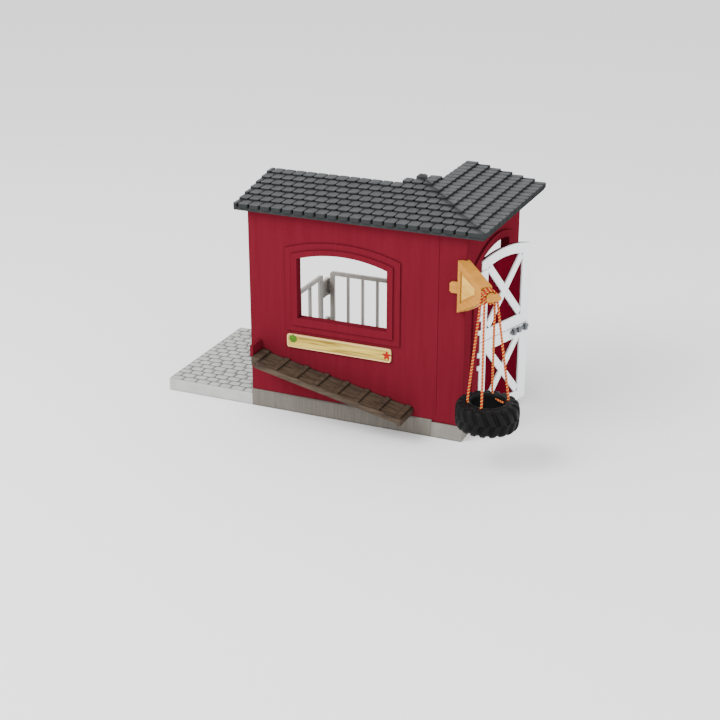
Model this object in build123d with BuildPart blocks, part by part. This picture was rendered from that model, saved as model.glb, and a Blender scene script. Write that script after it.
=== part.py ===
from build123d import *
from math import atan, cos, degrees, pi, radians, sin, sqrt
import os

os.makedirs("parts", exist_ok=True)

# Driving dimensions, in millimetres. X runs along the front of the shed, Y to the back, Z up.
# The origin is the centre of the base's underside.
base_width = 309.0
base_depth = 154.5
base_height = 12.0
yard_width = 94.0
wall_thickness = 6.5
wall_setback = 1.4
plinth_depth = 8.0
plinth_height = 17.0
corner_plinth_height = 15.0
corner_plinth_width = 29.3
corner_plinth_length = 37.0
rear_plinth_start = 118.0
corner_return = 25.5
eave_height = 197.1
roof_pitch = 0.1923
roof_rows = 7
tile_row = 11.45
tile_width = 11.16
tile_step = 2.0
door_angle = 17.2
clearance = 0.35

left = -base_width / 2
right = base_width / 2
front = -base_depth / 2
rear = base_depth / 2
shed_left = left + yard_width
wall_front_y = front + wall_setback
wall_back_y = wall_front_y + wall_thickness
seam_x = right - corner_return
side_inner_x = right - wall_thickness


def save(piece, name):
    """Labels a finished piece and writes it to its own file."""
    piece.part.label = name
    export_step(piece.part, f"parts/{name}.step")


def arched(x0, x1, z0, spring, rise):
    """Face with a flat foot, straight sides and a shallow arch, flat on top where rise is 0."""
    if rise == 0:
        return make_face(Polyline((x0, z0), (x1, z0), (x1, spring), (x0, spring), close=True))
    sides = Polyline((x0, spring), (x0, z0), (x1, z0), (x1, spring))
    crown = ThreePointArc((x1, spring), ((x0 + x1) / 2, spring + rise), (x0, spring))
    return make_face(sides.edges() + crown.edges())


# The roof: two lean-to wings of moulded shingles that meet in a mitred hip over the front corner.
eave_front_y = front - 7.9
eave_side_x = right + 19.8
roof_left_x = shed_left - 10.5
roof_rear_y = front + 173.4
board_thickness = 5.4
fascia_height = 3.2
roof_run = roof_rows * tile_row
short_row_length = 30.0
tile_gap = 0.9
first_tile_front = 4.6
first_tile_side = -2.2
tile_flare = 2.6
tile_chamfer = 2.4
gap_overrun = 0.3
least_tile = 1.5
hip_share = 0.6
eave_gap = 1.5
eave_gap_depth = 2.9
fascia_setback = 1.9
slope_angle = degrees(atan(roof_pitch))
slope_stretch = sqrt(1 + roof_pitch**2)
front_length = eave_side_x - roof_left_x
side_length = roof_rear_y - eave_front_y


def under_roof(distance):
    """Height of the roof's underside, at a distance in from the eave."""
    return eave_height + distance * roof_pitch


def shingle_profile(rows):
    """Section of one wing, eave at 0: a flat underside and one step for each row of tiles."""
    points = [(fascia_setback, under_roof(fascia_setback)), (fascia_setback, eave_height + fascia_height)]
    points.append((0, eave_height + fascia_height))
    for row in range(rows):
        lower = row * tile_row
        upper = lower + tile_row
        points.append((lower, under_roof(lower) + board_thickness + tile_step))
        points.append((upper, under_roof(upper) + board_thickness))
    points.append((rows * tile_row, under_roof(rows * tile_row)))
    return points


def tile_gap_outline():
    """Plan of the gap between two tiles of a row: a slot that flares where the tiles' corners are cut."""
    upper = tile_row * slope_stretch
    half = tile_gap / 2
    flare = tile_flare / 2
    foot = [(-flare, -gap_overrun), (flare, -gap_overrun), (half, tile_chamfer)]
    return foot + [(half, upper), (-half, upper), (-half, tile_chamfer)]


def gap_places(row, start, end, first_tile):
    """Places along a row of the gaps between its tiles, each row shifted half a tile on the next."""
    shift = first_tile + (tile_width / 2 if row % 2 else 0)
    places = [shift + k * tile_width for k in range(int(end / tile_width) + 2)]
    return [place for place in places if start + least_tile < place < end - least_tile]


def gap_points(length, start_of_short_row, first_tile):
    """Points in a wing's bed plane where a gap starts, for all of its rows."""
    points = []
    for row in range(roof_rows + 1):
        start = start_of_short_row if row == roof_rows else 0
        end = length - (row + hip_share) * tile_row
        points += [(place, row * tile_row * slope_stretch) for place in gap_places(row, start, end, first_tile)]
    return points


# Front wing. In its bed plane u runs along +X from the left end, and v up the slope from the eave.
front_short_start = front_length - roof_run - short_row_length
front_bed = Plane(
    origin=(roof_left_x, eave_front_y, eave_height + board_thickness),
    x_dir=(1, 0, 0),
    z_dir=(0, -sin(radians(slope_angle)), cos(radians(slope_angle))),
)
with BuildPart() as roof_front:
    with BuildSketch(Plane.YZ.offset(roof_left_x)):
        with Locations((eave_front_y, 0)):
            Polygon(*shingle_profile(roof_rows), align=None)
    extrude(amount=front_length)
    with BuildSketch(Plane.YZ.offset(roof_left_x + front_short_start)):
        with Locations((eave_front_y, 0)):
            Polygon(*shingle_profile(roof_rows + 1), align=None)
    extrude(amount=short_row_length + roof_run)
    with BuildSketch(front_bed):
        with Locations(*gap_points(front_length, front_short_start, first_tile_front)):
            Polygon(*tile_gap_outline(), align=None)
    extrude(amount=3 * tile_step, mode=Mode.SUBTRACT)
    with BuildSketch(Plane.XY.offset(eave_height + fascia_height)):
        for place in gap_places(0, 0, front_length - hip_share * tile_row, first_tile_front):
            with Locations((roof_left_x + place, eave_front_y)):
                Rectangle(eave_gap, 2 * eave_gap_depth)
    extrude(amount=3 * board_thickness, mode=Mode.SUBTRACT)
    split(bisect_by=Plane(origin=(eave_side_x, eave_front_y, 0), z_dir=(-1, -1, 0)), keep=Keep.TOP)
save(roof_front, "roof_front")

# Side wing. Its gaps are counted from the rear end, so u runs along -Y there.
side_short_start = side_length - roof_run - short_row_length
side_bed = Plane(
    origin=(eave_side_x, roof_rear_y, eave_height + board_thickness),
    x_dir=(0, -1, 0),
    z_dir=(sin(radians(slope_angle)), 0, cos(radians(slope_angle))),
)
side_profile_plane = Plane(origin=(eave_side_x, roof_rear_y, 0), x_dir=(-1, 0, 0), z_dir=(0, 1, 0))
with BuildPart() as roof_side:
    with BuildSketch(side_profile_plane):
        Polygon(*shingle_profile(roof_rows), align=None)
    extrude(amount=-side_length)
    with BuildSketch(side_profile_plane.offset(-side_short_start)):
        Polygon(*shingle_profile(roof_rows + 1), align=None)
    extrude(amount=-(short_row_length + roof_run))
    side_gaps = gap_points(side_length, side_short_start, first_tile_side)
    with BuildSketch(side_bed):
        with Locations(*[(u, -v) for u, v in side_gaps]):
            Polygon(*[(u, -v) for u, v in tile_gap_outline()], align=None)
    extrude(amount=3 * tile_step, mode=Mode.SUBTRACT)
    with BuildSketch(Plane.XY.offset(eave_height + fascia_height)):
        for place in gap_places(0, 0, side_length - hip_share * tile_row, first_tile_side):
            with Locations((eave_side_x, roof_rear_y - place)):
                Rectangle(2 * eave_gap_depth, eave_gap)
    extrude(amount=3 * board_thickness, mode=Mode.SUBTRACT)
    split(bisect_by=Plane(origin=(eave_side_x, eave_front_y, 0), z_dir=(1, 1, 0)), keep=Keep.TOP)
save(roof_side, "roof_side")
print("roof", roof_front.part.volume, roof_side.part.volume)

# Cap block in the corner behind the hip's top, where the two wings' top edges meet.
cap_size = 8.4
cap_height = 11.0
cap_proud = 3.4
cap_chamfer = 1.4
cap_inset = (roof_rows + 1) * tile_row
cap_x = eave_side_x - cap_inset - cap_size / 2
cap_y = eave_front_y + cap_inset + cap_size / 2
cap_top = under_roof(cap_inset) + board_thickness + cap_proud
with BuildPart() as hip_cap:
    with Locations((cap_x, cap_y, cap_top - cap_height / 2)):
        Box(cap_size, cap_size, cap_height)
    chamfer(hip_cap.edges().group_by(Axis.Z)[-1], length=cap_chamfer)
save(hip_cap, "hip_cap")

# Everything above the two undersides, cut off the tops of walls and posts.
wedge_depth = 120.0
above_roof = 1.2 * eave_height
wedge_outline = [
    (0, eave_height),
    (wedge_depth, under_roof(wedge_depth)),
    (wedge_depth, 2 * eave_height),
    (0, 2 * eave_height),
]
front_wedge_plane = Plane(origin=(-base_width, eave_front_y, 0), x_dir=(0, 1, 0), z_dir=(1, 0, 0))
side_wedge_plane = Plane(origin=(eave_side_x, -base_width, 0), x_dir=(-1, 0, 0), z_dir=(0, 1, 0))
above_front = extrude(front_wedge_plane * Polygon(*wedge_outline, align=None), 3 * base_width)
above_side = extrude(side_wedge_plane * Polygon(*wedge_outline, align=None), 3 * base_width)

# The base: one slab with the yard at its left, cut back where the plinths and the door stand.
door_sill_depth = 3.5
yard_corner_radius = 4.0
yard_rim_radius = 1.5
corner_y = front + corner_plinth_length
rear_plinth_y = front + rear_plinth_start
with BuildPart() as floor_plate:
    with BuildSketch():
        Polygon(
            (left, front),
            (shed_left, front),
            (shed_left, front + plinth_depth),
            (right - plinth_depth, front + plinth_depth),
            (right - plinth_depth, corner_y),
            (right - door_sill_depth, corner_y),
            (right - door_sill_depth, rear_plinth_y),
            (right - plinth_depth, rear_plinth_y),
            (right - plinth_depth, rear),
            (left, rear),
            align=None,
        )
    extrude(amount=base_height)
    yard_corners = floor_plate.edges().filter_by(Axis.Z).group_by(Axis.X)[0]
    fillet(yard_corners, radius=yard_corner_radius)
    yard_rim = floor_plate.edges().group_by(Axis.Z)[-1].group_by(Axis.X)[0]
    fillet(yard_rim, radius=yard_rim_radius)
save(floor_plate, "floor_plate")

# The three plinths that carry the walls.
corner_plinth_x = right - corner_plinth_width
hinge_x = right + 1.6
hinge_y = front + 35.6
pocket_width = 6.0
pocket_length = 7.4
pocket_height = 4.0
plinth_chamfer = 1.0
with BuildPart() as plinth_front:
    with Locations(((shed_left + corner_plinth_x) / 2, front + plinth_depth / 2, plinth_height / 2)):
        Box(corner_plinth_x - shed_left, plinth_depth, plinth_height)
    chamfer(plinth_front.edges().filter_by(Axis.X).group_by(Axis.Z)[-1].sort_by(Axis.Y)[0], length=plinth_chamfer)
save(plinth_front, "plinth_front")

with BuildPart() as plinth_corner:
    with BuildSketch():
        Polygon(
            (corner_plinth_x, front),
            (right, front),
            (right, corner_y),
            (right - plinth_depth, corner_y),
            (right - plinth_depth, front + plinth_depth),
            (corner_plinth_x, front + plinth_depth),
            align=None,
        )
    extrude(amount=corner_plinth_height)
    with Locations((hinge_x, hinge_y, corner_plinth_height)):
        Box(pocket_length, pocket_width, pocket_height, mode=Mode.SUBTRACT)
save(plinth_corner, "plinth_corner")

with BuildPart() as plinth_rear:
    with Locations((right - plinth_depth / 2, (rear_plinth_y + rear) / 2, corner_plinth_height / 2)):
        Box(plinth_depth, rear - rear_plinth_y, corner_plinth_height)
save(plinth_rear, "plinth_rear")

# Front wall with its arched window, the two steps of the window's surround, and the sill.
window_x0 = left + 144.3
window_x1 = left + 234.5
window_z0 = 97.7
window_spring = 155.9
window_rise = 7.5
surround_width = 12.5
surround_step = 1.2
surround_spring = 164.9
surround_rise = 9.8
surround_foot = 84.0
moulding_width = 5.8
moulding_step = 2.4
moulding_spring = 160.0
moulding_rise = 8.6
moulding_foot = 90.2
fin_depth = 18.4
fin_x = shed_left + 7.8
fin_thickness = 3.2
fin_foot = 58.0
fin_height = 11.4
ramp_peg_x = (left + 135.0, left + 235.0)
ramp_top_x = left + 113.0
ramp_top_z = 57.6
ramp_foot_x = left + 261.0
ramp_slope = 0.2181
ramp_thickness = 3.8
peg_radius = 1.4
peg_length = 4.0
wall_back = Plane(origin=(0, wall_back_y, 0), x_dir=(1, 0, 0), z_dir=(0, -1, 0))


def ramp_under(x):
    """Height of the ramp's underside along its run."""
    return ramp_top_z - (x - ramp_top_x) * ramp_slope - ramp_thickness


outer_step = arched(
    window_x0 - surround_width,
    window_x1 + surround_width,
    surround_foot,
    surround_spring,
    surround_rise,
)
inner_step = arched(
    window_x0 - moulding_width,
    window_x1 + moulding_width,
    moulding_foot,
    moulding_spring,
    moulding_rise,
)
window_hole = arched(window_x0, window_x1, window_z0, window_spring, window_rise)
with BuildPart() as wall_front:
    with BuildSketch(wall_back):
        with BuildLine():
            Polyline(
                (shed_left, plinth_height),
                (corner_plinth_x, plinth_height),
                (corner_plinth_x, corner_plinth_height),
                (seam_x, corner_plinth_height),
                (seam_x, above_roof),
                (shed_left, above_roof),
                close=True,
            )
        make_face()
    extrude(amount=wall_thickness)
    with BuildSketch(wall_back):
        add(outer_step)
    extrude(amount=wall_thickness + surround_step)
    with BuildSketch(wall_back):
        add(inner_step)
    extrude(amount=wall_thickness + moulding_step)
    with BuildSketch(wall_back):
        add(window_hole)
    extrude(amount=2 * wall_thickness, mode=Mode.SUBTRACT)
    with Locations((fin_x + fin_thickness / 2, wall_front_y - fin_depth / 2, fin_foot + fin_height / 2)):
        Box(fin_thickness, fin_depth, fin_height)
    for x in ramp_peg_x:
        with Locations(Location((x, wall_front_y, ramp_under(x) + ramp_thickness / 2), (90, 0, 0))):
            Cylinder(peg_radius, 2 * peg_length, mode=Mode.SUBTRACT)
    add(above_front, mode=Mode.SUBTRACT)
    add(above_side, mode=Mode.SUBTRACT)
save(wall_front, "wall_front")

# Right wall with the front corner's return, the doorway, its raised surround and hinge knuckles.
door_y0 = front + 37.6
door_y1 = front + 117.4
door_spring = 164.0
door_rise = 5.6
door_surround = 17.2
door_surround_rise = 13.2
surround_proud = 2.0
lug_height = 4.6
lug_radius = 2.3
upper_lugs = ((96.0, 109.6), (138.2, 151.8))
lower_lugs = ((60.9, 73.6), (16.4, 29.6))
pin_radius = 1.0
keeper_y = front + 120.4
bolt_z = 80.7
bolt_height = 2.7
bolt_depth = 1.7
tip_pocket_depth = 1.2
tip_pocket_length = 7.0
tip_pocket_y = keeper_y - 0.5
wall_inside = Plane(origin=(side_inner_x, 0, 0), x_dir=(0, 1, 0), z_dir=(1, 0, 0))

door_hole = arched(door_y0, door_y1, 0, door_spring, door_rise)
door_step = arched(
    door_y0 - door_surround,
    door_y1 + door_surround,
    corner_plinth_height,
    door_spring,
    door_surround_rise,
)
with BuildPart() as wall_side:
    with BuildSketch(Plane.XY.offset(corner_plinth_height)):
        Polygon(
            (seam_x, wall_front_y),
            (right, wall_front_y),
            (right, rear),
            (side_inner_x, rear),
            (side_inner_x, wall_back_y),
            (seam_x, wall_back_y),
            align=None,
        )
    extrude(amount=eave_height)
    with BuildSketch(wall_inside):
        add(door_step)
    extrude(amount=wall_thickness + surround_proud)
    with BuildSketch(wall_inside):
        add(door_hole)
    extrude(amount=2 * wall_thickness, mode=Mode.SUBTRACT)
    for pair in upper_lugs + lower_lugs:
        for z in pair:
            with Locations((hinge_x, hinge_y, z)):
                Box(pocket_length, pocket_width, lug_height + 2 * clearance, mode=Mode.SUBTRACT)
        knuckle = pair[1] - pair[0] - lug_height - 2 * clearance
        with Locations((hinge_x, hinge_y, (pair[0] + pair[1]) / 2)):
            Cylinder(lug_radius, knuckle)
            Cylinder(pin_radius, 3 * lug_height, mode=Mode.SUBTRACT)
    with Locations((right + surround_proud, tip_pocket_y, bolt_z)):
        Box(tip_pocket_depth, tip_pocket_length, bolt_height + 2 * clearance, mode=Mode.SUBTRACT)
    add(above_front, mode=Mode.SUBTRACT)
    add(above_side, mode=Mode.SUBTRACT)
save(wall_side, "wall_side")

# Square posts under the roof's inner edges.
post_size = 7.0


def post(x, y):
    """A post from the base to the underside of the roof."""
    shaft = Pos(x, y, base_height + above_roof / 2) * Box(post_size, post_size, above_roof)
    return shaft - above_front - above_side


post_places = {
    "post_left": (left + 97.5, front + 63.5),
    "post_inner": (left + 255.5, front + 63.5),
    "post_rear": (left + 255.5, front + 142.5),
}
for post_name, (x, y) in post_places.items():
    shaft = post(x, y)
    with BuildPart() as post_part:
        add(shaft)
    save(post_part, post_name)

# Blank sign board under the window, with a raised border.
sign_x = left + 185.9
sign_z = 74.05
sign_width = 105.6
sign_height = 13.1
sign_corner = 2.2
sign_thickness = 2.0
sign_border = 1.3
sign_inner_corner = 1.4
sign_recess = 0.5
with BuildPart() as sign_board:
    with BuildSketch(Plane(origin=(sign_x, wall_front_y, sign_z), x_dir=(1, 0, 0), z_dir=(0, -1, 0))):
        RectangleRounded(sign_width, sign_height, sign_corner)
    extrude(amount=sign_thickness)
    with BuildSketch(sign_board.faces().sort_by(Axis.Y)[0]):
        RectangleRounded(sign_width - 2 * sign_border, sign_height - 2 * sign_border, sign_inner_corner)
    extrude(amount=-sign_recess, mode=Mode.SUBTRACT)
save(sign_board, "sign_board")

# The climbing ramp: a plank with a rim along its front, cross battens, a head block and a foot. It
# hangs on two pegs in the wall.
ramp_depth = 32.4
rim_width = 2.6
rim_height = 1.2
rim_start = ramp_top_x + 2.0
batten_count = 7
batten_pitch = 20.7
batten_width = 4.4
batten_height = 1.5
head_x0 = left + 106.0
head_x1 = left + 114.3
head_foot = 52.0
head_top = 60.0
head_depth = 24.0
head_slant = 0.4
foot_width = 3.5
foot_drop = 1.2
sunk = 1.0
ramp_plane = Plane(origin=(0, wall_front_y, 0), x_dir=(1, 0, 0), z_dir=(0, -1, 0))


def ramp_top(x):
    """Height of the plank's top along its run."""
    return ramp_top_z - (x - ramp_top_x) * ramp_slope


with BuildPart() as ramp:
    with BuildSketch(ramp_plane):
        Polygon(
            (ramp_top_x, ramp_under(ramp_top_x)),
            (ramp_foot_x - foot_width, ramp_under(ramp_foot_x - foot_width)),
            (ramp_foot_x - foot_width, ramp_under(ramp_foot_x) - foot_drop),
            (ramp_foot_x, ramp_under(ramp_foot_x) - foot_drop),
            (ramp_foot_x, ramp_top(ramp_foot_x)),
            (ramp_top_x, ramp_top(ramp_top_x)),
            align=None,
        )
    extrude(amount=ramp_depth)
    with BuildSketch(ramp_plane.offset(ramp_depth - rim_width)):
        Polygon(
            (rim_start, ramp_top(rim_start) - sunk),
            (ramp_foot_x, ramp_top(ramp_foot_x) - sunk),
            (ramp_foot_x, ramp_top(ramp_foot_x) + rim_height),
            (rim_start, ramp_top(rim_start) + rim_height),
            align=None,
        )
    extrude(amount=rim_width)
    with BuildSketch(ramp_plane):
        for k in range(batten_count):
            x = head_x1 + (k + 1) * batten_pitch - batten_width
            Polygon(
                (x, ramp_top(x) - sunk),
                (x + batten_width, ramp_top(x + batten_width) - sunk),
                (x + batten_width, ramp_top(x + batten_width) + batten_height),
                (x, ramp_top(x) + batten_height),
                align=None,
            )
    extrude(amount=ramp_depth - rim_width)
    with BuildSketch(ramp_plane):
        Polygon(
            (head_x0, head_foot),
            (head_x1, head_foot),
            (head_x1, head_top - head_slant),
            (head_x0, head_top + head_slant),
            align=None,
        )
    extrude(amount=head_depth)
    for x in ramp_peg_x:
        with Locations(Location((x, wall_front_y, ramp_under(x) + ramp_thickness / 2), (90, 0, 0))):
            Cylinder(peg_radius, 2 * peg_length)
save(ramp, "ramp")

# Dutch door. Each leaf's drawing plane holds the hinge axis: s runs from it to the free edge, z up.
angle = radians(door_angle)
leaf_out = (cos(angle), -sin(angle), 0)
leaf_along = (sin(angle), cos(angle), 0)
leaf_plane = Plane(origin=(hinge_x, hinge_y, 0), x_dir=leaf_along, z_dir=leaf_out)
leaf_start = 3.0
leaf_end = 80.0
frame_thickness = 1.6
panel_thickness = 2.4
hinge_stile = 9.6
free_stile = 12.9
arch_rail = 9.0
bar_width = 7.5
strap_length = 10.5
strap_proud = 1.4
bore_clearance = 0.06
crown_rail_share = 0.8
crown_rise_share = 0.7
bar_top_share = 0.6


def crossed_bars(z0, z1):
    """Two bars from corner to corner of a leaf's field."""
    s0 = leaf_start + hinge_stile
    s1 = leaf_end - free_stile
    slope = degrees(atan((z1 - z0) / (s1 - s0)))
    middle = Pos((s0 + s1) / 2, (z0 + z1) / 2)
    long_bar = Rectangle(1.4 * (s1 - s0), bar_width)
    return middle * Rot(0, 0, slope) * long_bar + middle * Rot(0, 0, -slope) * long_bar


def leaf_frame(z0, z1, rise, foot_rail, top_rail):
    """Face of a leaf's frame: stiles, rails and the crossed bars."""
    outline = arched(leaf_start, leaf_end, z0, z1, rise)
    field = arched(
        leaf_start + hinge_stile,
        leaf_end - free_stile,
        z0 + foot_rail,
        z1 - (top_rail if rise == 0 else crown_rail_share * top_rail),
        crown_rise_share * rise,
    )
    return outline - field + (crossed_bars(z0 + foot_rail, z1 - bar_top_share * top_rail) & outline)


def hinge_bore(pair):
    """The bore for a hinge pin through a pair of lugs."""
    middle = (pair[0] + pair[1]) / 2
    return Pos(hinge_x, hinge_y, middle) * Cylinder(pin_radius + bore_clearance, 4 * lug_height)


def door_leaf(name, z0, z1, rise, foot_rail, top_rail, lugs):
    """Builds a leaf's panel and its frame with the hinge lugs."""
    panel_face = arched(leaf_start, leaf_end, z0, z1, rise)
    frame_face = leaf_frame(z0, z1, rise, foot_rail, top_rail)
    bores = [hinge_bore(pair) for pair in lugs]
    with BuildPart() as panel:
        with BuildSketch(leaf_plane.offset(-frame_thickness)):
            add(panel_face)
        extrude(amount=-panel_thickness)
    save(panel, f"{name}_panel")
    with BuildPart() as frame:
        with BuildSketch(leaf_plane.offset(-frame_thickness)):
            add(frame_face)
        extrude(amount=frame_thickness)
        for pair in lugs:
            for z in pair:
                with BuildSketch(leaf_plane.offset(-frame_thickness)):
                    with Locations((strap_length / 2, z)):
                        Rectangle(strap_length, lug_height)
                extrude(amount=frame_thickness + strap_proud)
                with Locations((hinge_x, hinge_y, z)):
                    Cylinder(lug_radius, lug_height)
        for bore in bores:
            add(bore, mode=Mode.SUBTRACT)
    save(frame, f"{name}_frame")
    return panel, frame


lower_foot = 6.0
lower_top = 84.0
lower_foot_rail = 10.2
lower_top_rail = 10.8
upper_foot = 84.8
upper_spring = 162.6
upper_rise = 5.6
upper_foot_rail = 10.7
pin_proud = 0.2
door_leaf("door_lower", lower_foot, lower_top, 0, lower_foot_rail, lower_top_rail, lower_lugs)
door_leaf("door_upper", upper_foot, upper_spring, upper_rise, upper_foot_rail, arch_rail, upper_lugs)

with BuildPart() as hinge_pins:
    for pair in upper_lugs + lower_lugs:
        with Locations((hinge_x, hinge_y, (pair[0] + pair[1]) / 2)):
            Cylinder(pin_radius, pair[1] - pair[0] + lug_height + 2 * pin_proud)
save(hinge_pins, "hinge_pins")

# The bolt on the lower leaf: a flat bar with a thumb grip, two guides, and a keeper on the wall.
bolt_start = 51.0
bolt_end = 79.0
grip_start = 61.0
grip_length = 4.6
grip_height = 4.8
grip_proud = 1.3
guide_length = 4.0
guide_starts = (53.5, 72.0)
guide_height = 6.0
guide_depth = 3.2
bolt_plane = leaf_plane.offset(clearance)
with BuildPart() as bolt:
    with BuildSketch(bolt_plane):
        with Locations(((bolt_start + bolt_end) / 2, bolt_z)):
            Rectangle(bolt_end - bolt_start, bolt_height)
    extrude(amount=bolt_depth)
    with BuildSketch(bolt_plane):
        with Locations((grip_start + grip_length / 2, bolt_z)):
            Rectangle(grip_length, grip_height)
    extrude(amount=bolt_depth + grip_proud)
save(bolt, "bolt")

with BuildPart() as bolt_guides:
    for start in guide_starts:
        with BuildSketch(leaf_plane):
            with Locations((start + guide_length / 2, bolt_z)):
                Rectangle(guide_length, guide_height)
        extrude(amount=guide_depth)
        with BuildSketch(leaf_plane):
            with Locations((start + guide_length / 2, bolt_z)):
                Rectangle(guide_length, bolt_height + 2 * clearance)
        extrude(amount=bolt_depth + 2 * clearance, mode=Mode.SUBTRACT)
save(bolt_guides, "bolt_guides")

keeper_x = right + surround_proud
keeper_height = 7.0
keeper_width = 3.2
keeper_proud = 3.4
keeper_lip = 1.3
with BuildPart() as bolt_keeper:
    with Locations((keeper_x + keeper_proud / 2, keeper_y, bolt_z)):
        Box(keeper_proud, keeper_width, keeper_height)
    with Locations((keeper_x, keeper_y, bolt_z)):
        Box(2 * (keeper_proud - keeper_lip), 2 * keeper_width, bolt_height + 2 * clearance, mode=Mode.SUBTRACT)
save(bolt_keeper, "bolt_keeper")

# The tyre's arm, clipped round the shed's front corner. Its plane: s out along the arm, z up.
arm_out = (cos(radians(45)), -sin(radians(45)), 0)
arm_side = (-sin(radians(45)), -cos(radians(45)), 0)
arm_root = (left + 307.8, front, 0)
arm_plane = Plane(origin=arm_root, x_dir=arm_out, z_dir=arm_side)
arm_thickness = 10.6
arm_start = -2.5
arm_top_z = 175.1
arm_top_slope = 0.2157
arm_foot_z = 128.3
arm_foot_slope = 0.53
neck_start = 44.0
neck_end = 55.8
tip_end = 61.6
neck_radius = 4.2
neck_z = 159.3
tab_z = 149.75
tab_reach = 14.5
tab_height = 10.5
tab_thickness = 2.2
tab_chamfer = 1.8
tip_drop = 2.0
field_depth = 1.0
field_corners = ((3.0, 137.0), (3.0, 167.5), (31.5, 161.5), (31.5, 153.5))


def on_arm(s, n, z):
    """A point given along the arm, to its side and up."""
    x = arm_root[0] + s * arm_out[0] + n * arm_side[0]
    y = arm_root[1] + s * arm_out[1] + n * arm_side[1]
    return Vector(x, y, z)


def arm_over(s):
    """Height of the arm's upper edge, a distance out along it."""
    return arm_top_z - arm_top_slope * s


def arm_under(s):
    """Height of the arm's lower edge."""
    return arm_foot_z + arm_foot_slope * s


with BuildPart() as hoist_arm:
    with BuildSketch(arm_plane.offset(-arm_thickness / 2)):
        Polygon(
            (arm_start, arm_under(arm_start)),
            (arm_start, arm_over(arm_start)),
            (neck_start, arm_over(neck_start)),
            (neck_start, arm_under(neck_start)),
            align=None,
        )
    extrude(amount=arm_thickness)
    for side in (-1, 1):
        with BuildSketch(arm_plane.offset(side * arm_thickness / 2)):
            Polygon(*field_corners, align=None)
        extrude(amount=-side * field_depth, mode=Mode.SUBTRACT)
    for tab_plane in (
        Plane(origin=(right, wall_front_y, tab_z), x_dir=(-1, 0, 0), z_dir=(0, -1, 0)),
        Plane(origin=(right, wall_front_y, tab_z), x_dir=(0, 1, 0), z_dir=(1, 0, 0)),
    ):
        with BuildSketch(tab_plane):
            with Locations((tab_reach / 2, 0)):
                Rectangle(tab_reach, tab_height)
            chamfer(vertices().group_by(Axis.X)[-1], length=tab_chamfer)
        extrude(amount=tab_thickness)
    with Locations((right - base_width / 2, wall_front_y + base_width / 2, tab_z)):
        Box(base_width, base_width, 8 * tab_height, mode=Mode.SUBTRACT)
    with BuildSketch(Plane(origin=on_arm(neck_start, 0, neck_z), z_dir=arm_out)):
        Circle(neck_radius)
    extrude(amount=neck_end - neck_start)
    with BuildSketch(arm_plane.offset(-arm_thickness / 2)):
        Polygon(
            (neck_end, arm_under(neck_end) - tip_drop),
            (neck_end, arm_over(neck_end)),
            (tip_end, arm_over(tip_end)),
            (tip_end, arm_under(tip_end) - tip_drop),
            align=None,
        )
    extrude(amount=arm_thickness)
save(hoist_arm, "hoist_arm")

# The tyre, lying flat under the arm, with slanted grooves in its tread.
tyre_middle = (left + 345.0, front - 35.4)
tyre_radius = 28.5
tyre_hole = 15.2
tyre_foot = 37.4
tyre_height = 25.0
tyre_shoulder = 5.5
tyre_bead = 1.6
lug_count = 18
lug_slant = 28.0
groove_width = 3.6
groove_depth = 2.2
groove_length = 17.0
groove_rise = 7.0
with BuildPart() as tyre:
    with BuildSketch(Plane.XZ):
        with Locations(((tyre_radius + tyre_hole) / 2, tyre_foot + tyre_height / 2)):
            Rectangle(tyre_radius - tyre_hole, tyre_height)
        chamfer(vertices().group_by(Axis.X)[-1], length=tyre_shoulder)
        chamfer(vertices().group_by(Axis.X)[0], length=tyre_bead)
    revolve(axis=Axis.Z)
    for row in (1, -1):
        with Locations((0, 0, tyre_foot + tyre_height / 2 + row * groove_rise)):
            with PolarLocations(tyre_radius, lug_count, start_angle=(1 - row) * 90 / lug_count):
                with Locations(Location((0, 0, 0), (row * lug_slant, 0, 0))):
                    Box(2 * groove_depth, groove_width, groove_length, mode=Mode.SUBTRACT)
tyre.part = Pos(tyre_middle[0], tyre_middle[1], 0) * tyre.part
save(tyre, "tyre")

# The rope: turns round the arm's neck, and two bights from them down through the tyre.
rope_diameter = 2.2
rope_radius = rope_diameter / 2
neck_gap = 0.06
turn_radius = neck_radius + neck_gap + rope_radius
turn_pitch = 2.85
turns = 3
rope_sides = 6
turn_start = neck_start + rope_radius + 0.45
rope_top_z = tyre_foot + tyre_height
mouth_radius = 18.3
mouth_depth = 4.5
strand_drop = 1.5
bend_radius = 3.0
left_turn = -151.8
near_turn = -88.6
far_turn = 97.1
right_turn = 24.6


def helix_point(turn):
    """Point and direction on the winding's centre line, a number of turns from its start."""
    swing = 2 * pi * turn
    s = turn_start + turn_pitch * turn
    n = turn_radius * cos(swing)
    z = neck_z + turn_radius * sin(swing)
    point = on_arm(s, n, z)
    rise = turn_pitch / (2 * pi)
    ahead = on_arm(rise, -turn_radius * sin(swing), turn_radius * cos(swing)) - on_arm(0, 0, 0)
    return point, ahead.normalized()


def biarc(start, start_way, end, end_way):
    """Two tangent arcs between two points with given directions."""
    chord = end - start
    ways = start_way + end_way
    a = ways.dot(ways) - 4
    b = -2 * chord.dot(ways)
    c = chord.dot(chord)
    reach = (-b - sqrt(b * b - 4 * a * c)) / (2 * a)
    first = start + start_way * reach
    second = end - end_way * reach
    middle = (first + second) * 0.5
    middle_way = (second - first).normalized()
    return [TangentArc(start, middle, tangent=start_way), TangentArc(middle, end, tangent=middle_way)]


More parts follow.
